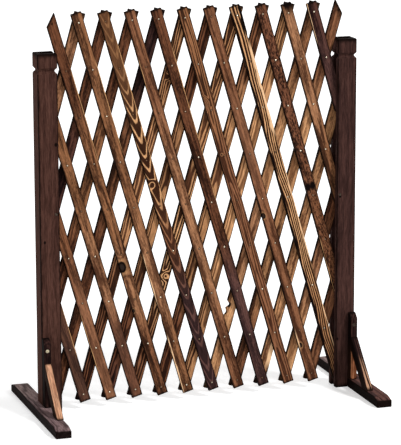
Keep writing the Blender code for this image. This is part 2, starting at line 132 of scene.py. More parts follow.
class Recipe:
    """A node tree, with one short call for each kind of node that the finishes use."""

    def __init__(self, tree):
        self.tree = tree

    def add(self, kind, **settings):
        """A node of a kind, with its settings."""
        node = self.tree.nodes.new(kind)
        for name, value in settings.items():
            setattr(node, name, value)
        return node

    def feed(self, socket, value):
        """Give a socket a number or colour, or link another node's output to it."""
        if isinstance(value, bpy.types.NodeSocket):
            self.tree.links.new(value, socket)
        else:
            socket.default_value = value

    def math(self, operation, *values):
        """One step of arithmetic."""
        node = self.add("ShaderNodeMath", operation=operation)
        for socket, value in zip(node.inputs, values):
            self.feed(socket, value)
        return node.outputs[0]

    def distance(self, first, second):
        """The root of the sum of two lengths' squares."""
        squares = self.math("MULTIPLY_ADD", first, first, self.math("MULTIPLY", second, second))
        return self.math("SQRT", squares)

    def stretch(self, vector, amounts):
        """A vector with each of its parts multiplied."""
        node = self.add("ShaderNodeVectorMath", operation="MULTIPLY")
        self.feed(node.inputs[0], vector)
        self.feed(node.inputs[1], amounts)
        return node.outputs[0]

    def split(self, vector):
        """The three parts of a vector."""
        node = self.add("ShaderNodeSeparateXYZ")
        self.feed(node.inputs[0], vector)
        return node.outputs

    def noise(self, vector, detail=2.0, roughness=0.5):
        """Cloudy noise from 0 to 1, whose scale is set by stretching the vector."""
        node = self.add("ShaderNodeTexNoise")
        self.feed(node.inputs["Vector"], vector)
        self.feed(node.inputs["Scale"], 1.0)
        self.feed(node.inputs["Detail"], detail)
        self.feed(node.inputs["Roughness"], roughness)
        return node.outputs["Fac"]

    def ramp(self, value, low, high, to_low=0.0, to_high=1.0):
        """A smooth rise from one value to another between two limits."""
        node = self.add("ShaderNodeMapRange", interpolation_type="SMOOTHSTEP")
        for name, given in (
            ("Value", value), ("From Min", low), ("From Max", high),
            ("To Min", to_low), ("To Max", to_high),
        ):
            self.feed(node.inputs[name], given)
        return node.outputs["Result"]

    def mix(self, share, first, second, blend="MIX"):
        """Two colours mixed by a share, or blended in another way."""
        node = self.add("ShaderNodeMix", data_type="RGBA", blend_type=blend)
        self.feed(node.inputs["Factor"], share)
        for socket, colour in zip(MIX_COLOURS, (first, second)):
            self.feed(node.inputs[socket], colour)
        return node.outputs[MIX_RESULT]

    def grey(self, value):
        """A number as a colour, the same in red, green and blue."""
        node = self.add("ShaderNodeCombineXYZ")
        for socket in node.inputs:
            self.feed(socket, value)
        return node.outputs[0]

    def attribute(self, name):
        """One of the mesh's own attributes."""
        return self.add("ShaderNodeAttribute", attribute_name=name).outputs

    def use(self, group, **values):
        """Place a shared group and give its inputs, whose names' spaces are written as _."""
        node = self.add("ShaderNodeGroup", node_tree=group)
        for name, value in values.items():
            self.feed(node.inputs[name.replace("_", " ")], value)
        return node.outputs


print("recipe calls:", ", ".join(name for name in vars(Recipe) if not name.startswith("_")))

# %% A helper for shared groups
SOCKET_TYPES = {"value": "NodeSocketFloat", "vector": "NodeSocketVector"}


def new_group(name, inputs, outputs):
    """An empty shader group with named inputs and outputs, and its recipe."""
    group = bpy.data.node_groups.new(name, "ShaderNodeTree")
    for title, kind in inputs:
        group.interface.new_socket(title, in_out="INPUT", socket_type=SOCKET_TYPES[kind])
    for title in outputs:
        group.interface.new_socket(title, in_out="OUTPUT", socket_type=SOCKET_TYPES["value"])
    recipe = Recipe(group)
    given = recipe.add("NodeGroupInput").outputs
    return group, recipe, given, recipe.add("NodeGroupOutput").inputs


print("group sockets:", ", ".join(SOCKET_TYPES))

# %% [markdown]
# ## Growth rings
#
# A plank is a slice of a trunk, and its figure is where the slice cuts the growth rings.
# A Wave Texture would give stripes at once, but they would look printed. So the rings are
# worked out as they grow: the distance from the tree's pith, counted in ring widths. A
# trunk also tapers, so each ring leans inward as it rises. Along a board that turns the
# rings into the pointed arches that joiners call cathedrals, and where the taper is slight
# they stay straight lines. A slow noise makes the trunk crooked, and one that runs with the
# years makes good years wide and dry years narrow. One group gives this to every piece of
# wood, and each board states where its own pith lay.

# %% The growth ring group
PI_TWICE = 2 * math.pi
TRUNK_BENDS = (4.5, 12.0, 12.0)
NOISE_MIDDLE = 0.5
RING_WAVERS = (14.0, 60.0, 60.0)
RING_WAVER_SHARE = 0.9
SEASONS_SCALE = 0.45
SEASONS_SHARE = 1.1


def make_ring_group():
    """Ring = (1 + the cosine of full circles x turns) / 2, and turns = (distance from the
    pith + swell + taper x along) / ring width, plus a waver and the years' own noise."""
    group, recipe, given, result = new_group("growth rings", [
        ("Timber", "vector"), ("Pith Across", "value"), ("Pith Depth", "value"),
        ("Taper", "value"), ("Ring Width", "value"), ("Wander", "value"), ("Swell", "value"),
    ], ["Ring"])
    along, across, depth = recipe.split(given["Timber"])
    bend = recipe.noise(recipe.stretch(given["Timber"], TRUNK_BENDS), detail=1.0)
    bend = recipe.math("SUBTRACT", bend, NOISE_MIDDLE)
    bend = recipe.math("MULTIPLY", bend, given["Wander"])
    sideways = recipe.math("ADD", recipe.math("SUBTRACT", across, given["Pith Across"]), bend)
    down = recipe.math("ADD", recipe.math("ADD", depth, given["Pith Depth"]), bend)
    distance = recipe.math("ADD", recipe.distance(down, sideways), given["Swell"])
    distance = recipe.math("MULTIPLY_ADD", along, given["Taper"], distance)
    waver = recipe.noise(recipe.stretch(given["Timber"], RING_WAVERS))
    turns = recipe.math("DIVIDE", distance, given["Ring Width"])
    turns = recipe.math("MULTIPLY_ADD", waver, RING_WAVER_SHARE, turns)
    years = recipe.add("ShaderNodeCombineXYZ")
    recipe.feed(years.inputs[0], recipe.math("MULTIPLY", turns, SEASONS_SCALE))
    seasons = recipe.noise(years.outputs[0], detail=0.0)
    turns = recipe.math("MULTIPLY_ADD", seasons, SEASONS_SHARE, turns)
    wave = recipe.math("COSINE", recipe.math("MULTIPLY", turns, PI_TWICE))
    recipe.feed(result["Ring"], recipe.math("MULTIPLY_ADD", wave, 0.5, 0.5))
    return group


ring_group = make_ring_group()
print(ring_group.name, "takes", len(ring_group.nodes), "nodes")

# %% [markdown]
# ## Fibres
#
# Between its rings the wood is streaky: fine hairs, longer streaks, broad patches, and on
# one board many dark flecks. All four are cloudy noise. Plain noise is as long as it is
# wide, which looks like stone, so each cloud is stretched along the grain by its own scale.

# %% The fibre group
FIBRES = {
    "Fibre": dict(scale=(45.0, 520.0, 520.0), detail=5.0),
    "Streak": dict(scale=(6.0, 210.0, 210.0), detail=4.0),
    "Patch": dict(scale=(9.0, 45.0, 45.0), detail=4.0),
    "Fleck": dict(scale=(150.0, 420.0, 420.0), detail=2.0),
}
FIBRE_ROUGHNESS = 0.6
FIBRE_LIMITS = (0.3, 0.7)


def make_fibre_group():
    """Noises stretched along the grain: hair-fine, streaky, patchy and flecked."""
    group, recipe, given, result = new_group("fibres", [("Timber", "vector")], FIBRES)
    for title, cloud in FIBRES.items():
        stretched = recipe.stretch(given["Timber"], cloud["scale"])
        cloudy = recipe.noise(stretched, cloud["detail"], FIBRE_ROUGHNESS)
        recipe.feed(result[title], recipe.ramp(cloudy, *FIBRE_LIMITS))
    return group


fibre_group = make_fibre_group()
print(fibre_group.name, "gives", ", ".join(FIBRES))

# %% [markdown]
# ## Burnt and shaded borders
#
# Edges and cut ends burn first. Blender can find edges by how pointed the mesh is, but that follows the mesh's own
# points and fades at once. This mask works out how far a place lies from the board's sides and from its end, so
# the burn reaches in as far as it should. A noise makes its inner limit ragged, as a flame does. On the feet, the
# braces and the back slats' ends the same mask also paints shade.

# %% The burnt and shaded border group
RAGGED_SCALE = (55.0, 160.0, 160.0)
RAGGED_SHARE = 2.0
END_ROUNDING = 0.004
END_DEPTH = 3.0
BORDER_LIMITS = (1.0, 0.1)


def make_border_group():
    """Inset = half width - distance from the middle, rounded off with the way to the end.
    Side darkens whole side faces, and Arris, from the larger inset of the two ways, darkens the long corners
    alone."""
    group, recipe, given, result = new_group("burn and shade border", [
        ("Timber", "vector"), ("From End", "value"), ("Half Width", "value"),
        ("Half Depth", "value"), ("Reach", "value"),
    ], ["Side", "Arris"])
    _, across, depth = recipe.split(given["Timber"])
    inset = recipe.math("SUBTRACT", given["Half Width"], recipe.math("ABSOLUTE", across))
    sunk = recipe.math("SUBTRACT", given["Half Depth"], recipe.math("ABSOLUTE", depth))
    ragged = recipe.noise(recipe.stretch(given["Timber"], RAGGED_SCALE))
    ragged = recipe.math("MULTIPLY", ragged, RAGGED_SHARE)
    reach = recipe.math("MULTIPLY", given["Reach"], ragged)
    from_end = recipe.math("DIVIDE", given["From End"], END_DEPTH)
    for title, distance in (("Side", inset), ("Arris", recipe.math("MAXIMUM", inset, sunk))):
        rounded = recipe.math("SMOOTH_MIN", distance, from_end, END_ROUNDING)
        share = recipe.math("DIVIDE", rounded, reach)
        recipe.feed(result[title], recipe.ramp(share, *BORDER_LIMITS))
    return group


border_group = make_border_group()
print(border_group.name, "reaches", END_DEPTH, "times as far in from a cut end")

# %% [markdown]
# ## Worn edges
#
# Where hands and sandpaper have rubbed a corner, a thin line of bare wood shows again. On a
# few boards such a line is bleached or scorched instead. One group draws them all, between
# two places along the board, so that a board can say where it is worn.

# %% The worn edge group
WORN_SCALE = (28.0, 60.0, 60.0)
WORN_SHARE = 2.0
WORN_LIMITS = (1.0, 0.7)
WORN_INSET = (0.0004, 0.0009)
WORN_FADE = 0.03


def make_worn_group():
    """A thin line just inside one border, between two places along, broken by a noise."""
    group, recipe, given, result = new_group("worn edge", [
        ("Timber", "vector"), ("Half Width", "value"), ("Side", "value"),
        ("From", "value"), ("To", "value"), ("Thickness", "value"),
    ], ["Worn"])
    along, across, _ = recipe.split(given["Timber"])
    inset = recipe.math("MULTIPLY", across, given["Side"])
    inset = recipe.math("SUBTRACT", given["Half Width"], inset)
    cloud = recipe.noise(recipe.stretch(given["Timber"], WORN_SCALE))
    cloud = recipe.math("MULTIPLY", cloud, WORN_SHARE)
    limit = recipe.math("MULTIPLY", given["Thickness"], cloud)
    within = recipe.ramp(recipe.math("DIVIDE", inset, limit), *WORN_LIMITS)
    line = recipe.math("MULTIPLY", within, recipe.ramp(inset, *WORN_INSET))
    starts = recipe.ramp(recipe.math("SUBTRACT", along, given["From"]), 0.0, WORN_FADE)
    stops = recipe.ramp(recipe.math("SUBTRACT", given["To"], along), 0.0, WORN_FADE)
    line = recipe.math("MULTIPLY", line, recipe.math("MULTIPLY", starts, stops))
    recipe.feed(result["Worn"], line)
    return group


worn_group = make_worn_group()
print(worn_group.name, "fades out over", WORN_FADE, "m")

# %% [markdown]
# ## Knots
#
# A knot is the foot of a branch: an oval with a dark rim, and the trunk's rings part round
# it. The rings bend by themselves when the knot's swell is added to their distance from the
# pith, which a dark spot painted over straight grain would never show.

# %% The knot group
KNOT_OVAL = 0.72
KNOT_PUSH = 2.8
KNOT_CORE = 0.5
KNOT_RIM_INSIDE = (0.4, 0.75)
KNOT_RIM = 1.3
KNOT_HALO = 2.1
KNOT_PUSH_REACH = 3.2


def make_knot_group():
    """The oval distance from the knot in knot radii gives its core, its rim and its push."""
    group, recipe, given, result = new_group("knot", [
        ("Timber", "vector"), ("Along", "value"), ("Across", "value"), ("Radius", "value"),
    ], ["Core", "Rim", "Halo", "Swell"])
    along, across, _ = recipe.split(given["Timber"])
    long_way = recipe.math("SUBTRACT", along, given["Along"])
    long_way = recipe.math("MULTIPLY", long_way, KNOT_OVAL)
    short_way = recipe.math("SUBTRACT", across, given["Across"])
    radii = recipe.math("DIVIDE", recipe.distance(long_way, short_way), given["Radius"])
    recipe.feed(result["Core"], recipe.ramp(radii, 1.0, KNOT_CORE))
    inside = recipe.ramp(radii, *KNOT_RIM_INSIDE)
    outside = recipe.ramp(radii, KNOT_RIM, 1.0)
    recipe.feed(result["Rim"], recipe.math("MULTIPLY", inside, outside))
    recipe.feed(result["Halo"], recipe.ramp(radii, KNOT_HALO, KNOT_RIM))
    push = recipe.math("MULTIPLY", recipe.ramp(radii, KNOT_PUSH_REACH, 0.0), given["Radius"])
    recipe.feed(result["Swell"], recipe.math("MULTIPLY", push, KNOT_PUSH))
    return group


knot_group = make_knot_group()
print(knot_group.name, "pushes the rings up to", KNOT_PUSH_REACH, "radii away")

# %% [markdown]
# ## Nail stains
#
# A nail leaves a dark halo where its iron met the sap. The nails stand at equal steps along
# a slat, so the slat's length is folded at that step, as a folding rule is, and one spot at
# the fold's start shows at every nail. Placing the spots one by one would take a group for
# every crossing.

# %% The nail stain group
STAIN_LIMITS = (1.0, 0.45)


def make_nail_stain_group():
    """The distance to the nearest nail, found by folding the board's length at the pitch."""
    group, recipe, given, result = new_group("nail stain", [
        ("Timber", "vector"), ("First", "value"), ("Pitch", "value"), ("Reach", "value"),
    ], ["Stain"])
    along, across, _ = recipe.split(given["Timber"])
    past = recipe.math("SUBTRACT", along, given["First"])
    folded = recipe.math("PINGPONG", past, recipe.math("MULTIPLY", given["Pitch"], 0.5))
    spots = recipe.math("DIVIDE", recipe.distance(folded, across), given["Reach"])
    recipe.feed(result["Stain"], recipe.ramp(spots, *STAIN_LIMITS))
    return group


stain_group = make_nail_stain_group()
print("groups:", ", ".join(group.name for group in bpy.data.node_groups))

# %% [markdown]
# ## The colours of flamed pine
#
# Each tone is a pair of browns, for the light and the dark wood of one board. They are
# written as they appear on a screen, since that is how one judges them, and turned into the
# light values that the renderer works with. Char is nearly black, but a warm black.

# %% The colours
SCREEN_WHITE = 255
SCREEN_BEND = 0.04045
SCREEN_SLOPE = 12.92
SCREEN_OFFSET = 0.055
SCREEN_POWER = 2.4


def seen(red, green, blue):
    """A screen's colour as linear light: its share of white / slope below the bend, and above
    it (share + offset) / (1 + offset), raised to the power."""
    shares = np.array([red, green, blue]) / SCREEN_WHITE
    low = shares / SCREEN_SLOPE
    high = ((shares + SCREEN_OFFSET) / (1 + SCREEN_OFFSET)) ** SCREEN_POWER
    return (*np.where(shares <= SCREEN_BEND, low, high).tolist(), 1.0)


CHAR = (0.006, 0.0035, 0.003, 1.0)
KNOT_HEART = (0.030, 0.020, 0.016, 1.0)
BARE_WOOD = seen(196, 148, 102)
BLEACHED_WOOD = seen(240, 196, 152)
TONES = {
    "soot": (seen(64, 42, 38), seen(24, 15, 15)),
    "shaded post": (seen(76, 51, 46), seen(56, 37, 34)),
    "post": (seen(84, 56, 48), seen(64, 41, 35)),
    "black": (seen(90, 58, 50), seen(30, 18, 18)),
    "bark": (seen(100, 68, 54), seen(66, 45, 38)),
    "plum": (seen(100, 69, 63), seen(54, 37, 36)),
    "dark": (seen(118, 74, 51), seen(46, 27, 20)),
    "cocoa": (seen(122, 80, 60), seen(86, 57, 44)),
    "rust": (seen(134, 86, 62), seen(40, 25, 20)),
    # The left foot's top: its brown with painted sheen in it, which turns it grey.
    "grey": (seen(136, 113, 113), seen(78, 61, 62)),
    "umber": (seen(138, 90, 62), seen(54, 33, 23)),
    "olive": (seen(140, 98, 65), seen(104, 69, 46)),
    "red": (seen(148, 99, 70), seen(76, 46, 32)),
    # Painted sheen: the lighter grey that the feet's tops turn to towards the back.
    "painted sheen": (seen(150, 130, 126), seen(92, 76, 74)),
    "brown": (seen(156, 106, 72), seen(66, 41, 28)),
    "clay": (seen(158, 108, 78), seen(112, 74, 54)),
    "light": (seen(180, 128, 92), seen(88, 56, 39)),
    "golden": (seen(186, 134, 92), seen(66, 40, 27)),
    "ash": (seen(190, 146, 116), seen(52, 33, 30)),
    "amber": (seen(200, 134, 94), seen(120, 70, 46)),
    "wheat": (seen(208, 152, 106), seen(98, 62, 42)),
    "blush": (seen(216, 164, 130), seen(160, 112, 86)),
    "honey": (seen(220, 164, 116), seen(140, 96, 64)),
    "tan": (seen(222, 168, 118), seen(60, 35, 23)),
}
print(len(TONES), "tones:", ", ".join(TONES))

# %% [markdown]
# ## The looks of the grain
#
# The knobs that differ from one kind of board to another are a small dictionary, a look.
# Ring width, taper and wander shape the rings. Figure, streaks, patches and flecks say how
# much the rings and each kind of fibre add to the dark. Dark from says where in a ring the
# dark begins, ink how black its hard line is, and border how far the burn reaches in.
# Lengths are in metres. A look is copied with a few tweaks where one board differs.

# %% The looks
LOOKS = {
    "plain": dict(
        ring_width=0.0110, taper=0.030, wander=0.020, figure=0.35, dark_from=0.5, ink=0.10,
        streaks=0.50, patches=0.45, flecks=0.35, border=0.0040,
    ),
    "cathedral": dict(
        ring_width=0.0080, taper=0.130, wander=0.008, figure=1.00, dark_from=0.16, ink=0.10,
        streaks=0.20, patches=0.30, flecks=0.10, border=0.0034,
    ),
    "lined": dict(
        ring_width=0.0034, taper=0.004, wander=0.012, figure=0.70, dark_from=0.5, ink=0.18,
        streaks=0.40, patches=0.35, flecks=0.10, border=0.0034,
    ),
    "striped": dict(
        ring_width=0.0058, taper=0.012, wander=0.030, figure=1.00, dark_from=0.62, ink=0.60,
        streaks=0.35, patches=0.25, flecks=0.0, border=0.0026,
    ),
    "mottled": dict(
        ring_width=0.0060, taper=0.150, wander=0.030, figure=0.10, dark_from=0.4, ink=0.15,
        streaks=0.30, patches=0.40, flecks=1.10, border=0.0050,
    ),
    "post": dict(
        ring_width=0.0130, taper=0.004, wander=0.030, figure=0.25, dark_from=0.5, ink=0.10,
        streaks=0.60, patches=0.45, flecks=0.20, border=0.0046,
    ),
    "foot": dict(
        ring_width=0.0080, taper=0.010, wander=0.020, figure=0.40, dark_from=0.5, ink=0.20,
        streaks=0.55, patches=0.50, flecks=0.10, border=0.0016,
    ),
    "brace": dict(
        ring_width=0.0060, taper=0.015, wander=0.020, figure=0.30, dark_from=0.5, ink=0.15,
        streaks=0.35, patches=0.65, flecks=0.10, border=0.0014,
    ),
}
print(len(LOOKS), "looks:", ", ".join(LOOKS))

# %% [markdown]
# ## The colour of a board
#
# A board's material mixes its light and its dark brown by its rings, streaks, patches and
# flecks, inks the hard line of each ring and shades the fibres. A photograph of wood could
# be wrapped round the boards, but all would show the same piece of it. Here no two are
# alike, and the grain runs on over the corners as in real wood. Part of the way down, a
# board may change to another tone.

# %% Mix the tones by the grain
TONE_CHANGE = 0.08
BAND_SOFTNESS = 0.25
GRAIN_SHARES = {"Streak": "streaks", "Patch": "patches", "Fleck": "flecks"}
CONTRAST = (0.22, 0.78)


def tones_along(recipe, timber, board):
    """The board's light and dark wood, changed over to each later tone at its place. The
    change begins a fade's length before the place and is over a fade's length past it."""
    light, dark = TONES[board["tone"]]
    along = recipe.split(timber)[0]
    fade = board.get("fade", TONE_CHANGE)
    for later, place in board.get("later", []):
        change = recipe.ramp(along, place - fade, place + fade)
        light = recipe.mix(change, light, TONES[later][0])
        dark = recipe.mix(change, dark, TONES[later][1])
    return light, dark


def grain_depth(recipe, ring, grain, look):
    """How dark the wood is, from 0 to 1: each effect times its share in the look, summed,
    with the contrast raised between two shares of the greatest sum."""
    dark_from = look["dark_from"]
    band = recipe.ramp(ring, dark_from - BAND_SOFTNESS, dark_from + BAND_SOFTNESS)
    depth = recipe.math("MULTIPLY", band, look["figure"])
    for title, share in GRAIN_SHARES.items():
        depth = recipe.math("MULTIPLY_ADD", grain[title], look[share], depth)
    total = look["figure"] + sum(look[share] for share in GRAIN_SHARES.values())
    return recipe.ramp(depth, total * CONTRAST[0], total * CONTRAST[1])


print("a tone changes over", 2 * TONE_CHANGE, "m")

# %% Ink the rings and place the marks
INK_FROM = 0.86
FIBRE_SHADES = (0.64, 1.18)
HALO_SHARE = 0.35
MARKS = ("knots", "swirls", "scars")


def place_marks(recipe, timber, places):
    """One knot group for each place, which says how far along and across, and its radius."""
    return [
        recipe.use(knot_group, Timber=timber, Along=along, Across=across, Radius=radius)
        for along, across, radius in places
    ]


def wood_colour(recipe, timber, board, pith):
    """Light and dark wood mixed by the grain's depth, then inked, shaded and marked. Knots
    push the rings and are dark, swirls only push them, scars are only dark."""
    look = {**LOOKS[board["look"]], **board.get("tweaks", {})}
    light, dark = tones_along(recipe, timber, board)
    knots, swirls, scars = (
        place_marks(recipe, timber, board.get(kind, [])) for kind in MARKS
    )
    swell = 0.0
    for mark in knots + swirls:
        swell = recipe.math("ADD", mark["Swell"], swell)
    ring = recipe.use(
        ring_group, Timber=timber, Pith_Across=pith[0], Pith_Depth=pith[1],
        Taper=look["taper"], Ring_Width=look["ring_width"], Wander=look["wander"], Swell=swell,
    )["Ring"]
    grain = recipe.use(fibre_group, Timber=timber)
    depth = grain_depth(recipe, ring, grain, look)
    colour = recipe.mix(depth, light, dark)
    ink = recipe.math("MULTIPLY", recipe.ramp(ring, INK_FROM, 1.0), look["ink"])
    colour = recipe.mix(ink, colour, CHAR)
    fine = recipe.ramp(grain["Fibre"], 0.0, 1.0, *FIBRE_SHADES)
    colour = recipe.mix(1.0, colour, recipe.grey(fine), blend="MULTIPLY")
    for knot in knots:
        halo = recipe.math("MULTIPLY", knot["Halo"], HALO_SHARE)
        colour = recipe.mix(halo, colour, BARE_WOOD)
        colour = recipe.mix(knot["Core"], colour, KNOT_HEART)
        colour = recipe.mix(knot["Rim"], colour, CHAR)
    for scar in scars:
        colour = recipe.mix(scar["Core"], colour, CHAR)
    return colour, depth, grain["Fibre"]


print("marks:", ", ".join(MARKS))

# %% [markdown]
# ## The surface of a board
#
# Flamed wood is dull, with hardly any gloss. The dark wood has sunk a little where it
# burned, and the fibres stand up from it. So fine a relief would need millions of faces as
# a mesh, and a bump gives it for nothing.

# %% Send the wood to the surface
WOOD_SHEEN_LEVEL = 0.004
ROUGHNESS_SPREAD = 0.08
FIBRE_HEIGHT = 0.6
DARK_HEIGHT = -0.8
WOOD_BUMP = 0.25
BUMP_DEPTH = 0.0004


def start_material(name):
    """A new material with an empty Principled surface, and its recipe."""
    material = bpy.data.materials.new(name)
    material.use_nodes = True
    return material, Recipe(material.node_tree), material.node_tree.nodes["Principled BSDF"]


def finish_wood(recipe, shader, colour, depth, fibre, roughness):
    """Send the colour, a roughness that follows it and the grain's relief to the surface."""
    recipe.feed(shader.inputs["Specular IOR Level"], WOOD_SHEEN_LEVEL)
    recipe.feed(shader.inputs["Base Color"], colour)
    rough = recipe.ramp(
        depth, 0.0, 1.0, roughness + ROUGHNESS_SPREAD, roughness - ROUGHNESS_SPREAD
    )
    recipe.feed(shader.inputs["Roughness"], rough)
    sunk = recipe.math("MULTIPLY", depth, DARK_HEIGHT)
    bump = recipe.add("ShaderNodeBump")
    recipe.feed(bump.inputs["Strength"], WOOD_BUMP)
    recipe.feed(bump.inputs["Distance"], BUMP_DEPTH)
    recipe.feed(bump.inputs["Height"], recipe.math("MULTIPLY_ADD", fibre, FIBRE_HEIGHT, sunk))
    recipe.feed(shader.inputs["Normal"], bump.outputs[0])


print("the grain's relief:", BUMP_DEPTH, "m, at a strength of", WOOD_BUMP)

# %% [markdown]
# ## Reading the lattice from the frame
#
# The slats' lean could be typed in, but then it would be wrong as soon as the solid model
# changes. It is the slope of the line between two joints on one slat. With it, each slat's
# vertices can be measured along and across the slat itself, which gives its real ends, also
# where one end is mitred. Directions run down a slat and to its right, so a front slat and
# a back slat read alike.

# %% Measure the slats
SLAT_EASE = 0.0006
EDGE_TOLERANCE = 0.0001
joint_places = {joint["child"]: np.array(joint["pos_m"]) for joint in frame["joints"]}
slope = joint_places["front_slat_05"] - joint_places["front_slat_06"]
LEAN = math.atan2(abs(slope[2]), abs(slope[0]))
LATTICE_DEPTH = float(joint_places["back_slat_02"][1])
back_low, back_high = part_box("back_slat_05")
LAYER_INNER = back_low.y - LATTICE_DEPTH
LAYER_OUTER = back_high.y - LATTICE_DEPTH


def node_points(name):
    """A CAD node's vertices as an array."""
    mesh = nodes[name].data
    points = np.empty(len(mesh.vertices) * 3)
    mesh.vertices.foreach_get("co", points)
    return points.reshape(-1, 3)


def measure_slat(name):
    """A slat's directions, its width, and how far down each long edge starts and ends."""
    front = name.startswith("front")
    side = 1 if front else -1
    down = np.array([side * math.cos(LEAN), 0.0, -math.sin(LEAN)])
    right = np.array([math.sin(LEAN), 0.0, side * math.cos(LEAN)])
    points = node_points(name)
    along, across = points @ down, points @ right
    middle = (across.min() + across.max()) / 2
    half = (across.max() - across.min()) / 2
    edges = []
    for sign in (-1, 1):
        on_edge = along[np.abs(across - middle - sign * half) < EDGE_TOLERANCE]
        edges.append((on_edge.min() - SLAT_EASE, on_edge.max() + SLAT_EASE))
    top = min(edge[0] for edge in edges)
    origin = down * top + right * middle
    origin[1] = LATTICE_DEPTH
    return {
        "name": name, "front": front, "down": down, "right": right, "half": half,
        "origin": origin, "starts": [edge[0] - top for edge in edges],
        "ends": [edge[1] - top for edge in edges],
    }


slats = [measure_slat(name) for name in sorted(nodes) if "_slat_" in name]
print("lean", round(math.degrees(LEAN), 2), "degrees;", len(slats), "slats")

# %% [markdown]
# ## The slats
#
# A sawn slat is a rounded rectangle carried along a line. A cube with a bevel would do for
# that, but a real slat isn't perfect: its edges wave a little, its face is hollowed by the
# grain, and here and there bark or a knot has taken a bite from an edge. So the surface is
# a grid with one ring of points for each step along the slat, and all of it is worked out
# at once, as arrays. The ring's shape comes first.

# %% The slat's section
CORNER_STEPS = 4
FLAT_SHARES = (0.08, 0.3, 0.5, 0.7, 0.92)
SLAT_CORNER = 0.0009
QUARTER_TURN = math.pi / 2
CORNER_SIGNS = np.array([(1, 1), (-1, 1), (-1, -1), (1, -1)])


def rounded_section(half_width, half_depth, corner):
    """Once round a rectangle with round corners: four quarter circles joined by flats."""
    angles = np.linspace(0, QUARTER_TURN, CORNER_STEPS)
    shares = np.array(FLAT_SHARES)[:, None]
    centres = CORNER_SIGNS * (half_width - corner, half_depth - corner)
    pieces = []
    for turn, centre in enumerate(centres):
        spin = angles + turn * QUARTER_TURN
        arc = centre + corner * np.stack([np.cos(spin), np.sin(spin)], axis=1)
        start = (turn + 1) * QUARTER_TURN
        after = centres[(turn + 1) % len(centres)]
        landing = after + corner * np.array([math.cos(start), math.sin(start)])
        pieces.append(arc)
        pieces.append(arc[-1] * (1 - shares) + landing * shares)
    return np.concatenate(pieces)


SECTION_POINTS = len(CORNER_SIGNS) * (CORNER_STEPS + len(FLAT_SHARES))
print("a slat's section has", SECTION_POINTS, "points")

# %% [markdown]
# ## Waves and bites
#
# The waves along an edge are sines of a few lengths that don't divide each other, each
# begun at a place of its own, so they never seem to repeat. A bite is a smooth hump, taken
# away from the edge. Noise would serve for both, but sines and humps keep the edge smooth.

# %% What time and the saw do to a slat
EDGE_WAVE = 0.00022
FACE_HOLLOW = 0.00018
WAVE_LENGTHS = (0.31, 0.13, 0.057)
EDGE_POWER = 3


def wander(positions, draw):
    """Gentle waves along a board: the mean of sines of a few lengths, each from its place."""
    total = np.zeros_like(positions)
    for length in WAVE_LENGTHS:
        total += np.sin((positions / length + draw.random()) * PI_TWICE) / len(WAVE_LENGTHS)
    return total


def hump(positions, centre, reach):
    """3 x squared - 2 x cubed, where x falls from one at the centre to none at the reach."""
    nearness = np.clip(1 - np.abs(positions - centre) / reach, 0, 1)
    return nearness * nearness * (3 - 2 * nearness)


def weather(slat, along, across, depth, bites, draw):
    """Across shrinks near the edges by edge wave x (1 + waves), depth shrinks near the middle
    of the outer face by face hollow x (1 + waves), and each bite pulls its edge in by its
    size x its hump x the square of the way across."""
    near_edge = np.abs((across / slat["half"]) ** EDGE_POWER)
    across = across - near_edge * EDGE_WAVE * (1 + wander(along, draw)) * np.sign(across)
    outward = -1 if slat["front"] else 1
    outer = (depth * outward > 0) * (1 - near_edge)
    depth = depth - outward * outer * FACE_HOLLOW * (1 + wander(along, draw))
    for centre, side, size, half_length in bites:
        towards = np.clip(across * side / slat["half"], 0, 1) ** 2
        across = across - side * hump(along, centre, half_length) * towards * size
    return across, depth


print("edges wave by up to", 2 * EDGE_WAVE, "m")

# %% [markdown]
# ## From a grid to a mesh
#
# Rings of points become quads between neighbouring rings, with one many-sided face to close
# each end. Each slat also keeps its wood coordinates as an attribute: how far along it,
# across it and into it every point lies. The finish reads these, so the grain follows the
# slat wherever it points, and stays on it when the lattice folds.

# %% Make a mesh of a grid
SHARP_ANGLE = math.radians(50)


def grid_faces(rings, around):
    """The quads between neighbouring rings, and one cap at each end."""
    ring, step = np.meshgrid(np.arange(rings - 1), np.arange(around), indexing="ij")
    after = (step + 1) % around
    quads = np.stack([
        ring * around + step, ring * around + after,
        (ring + 1) * around + after, (ring + 1) * around + step,
    ], axis=-1).reshape(-1, 4).tolist()
    last = (rings - 1) * around
    return quads + [list(range(around)), [last + place for place in range(around)]]


def make_piece(name, points, faces, timber=None, from_end=None):
    """A mesh object at the origin, its faces outward, carrying its own wood coordinates."""
    mesh = bpy.data.meshes.new(name)
    mesh.from_pydata(points.tolist(), [], faces)
    if timber is not None:
        mesh.attributes.new("timber", "FLOAT_VECTOR", "POINT").data.foreach_set(
            "vector", timber.astype(np.float32).ravel()
        )
        mesh.attributes.new("from_end", "FLOAT", "POINT").data.foreach_set(
            "value", from_end.astype(np.float32).ravel()
        )
    bm = bmesh.new()
    bm.from_mesh(mesh)
    bmesh.ops.recalc_face_normals(bm, faces=bm.faces)
    bm.to_mesh(mesh)
    bm.free()
    mesh.shade_smooth()
    mesh.set_sharp_from_angle(angle=SHARP_ANGLE)
    piece = bpy.data.objects.new(name, mesh)
    bpy.context.scene.collection.objects.link(piece)
    return piece


print("edges sharper than", round(math.degrees(SHARP_ANGLE)), "degrees stay sharp")

# %% [markdown]
# ## The slat's whole surface
#
# The section is carried down the slat. Each point of it runs from its own start to its own
# end, so a mitred end slants without a cut. A Boolean cut would leave it with untidy faces.
# The steps are closer on a slat with bites, where the edge needs them, and rings set close
# together round off each cut end.

# %% The slat surface
SLAT_STEP = 0.005
BITE_STEP = 0.0015
END_RIM = 0.0018
END_ROUND = 0.0004
CAP_BEYOND = 0.004


def slat_steps(length, bites):
    """Where the rings stand, as shares of the length: a rim at each end, even between."""
    rim = END_RIM / length
    count = int(length / (BITE_STEP if bites else SLAT_STEP))
    between = np.linspace(2 * rim, 1 - 2 * rim, count)
    return np.concatenate([[0, rim], between, [1 - rim, 1]])


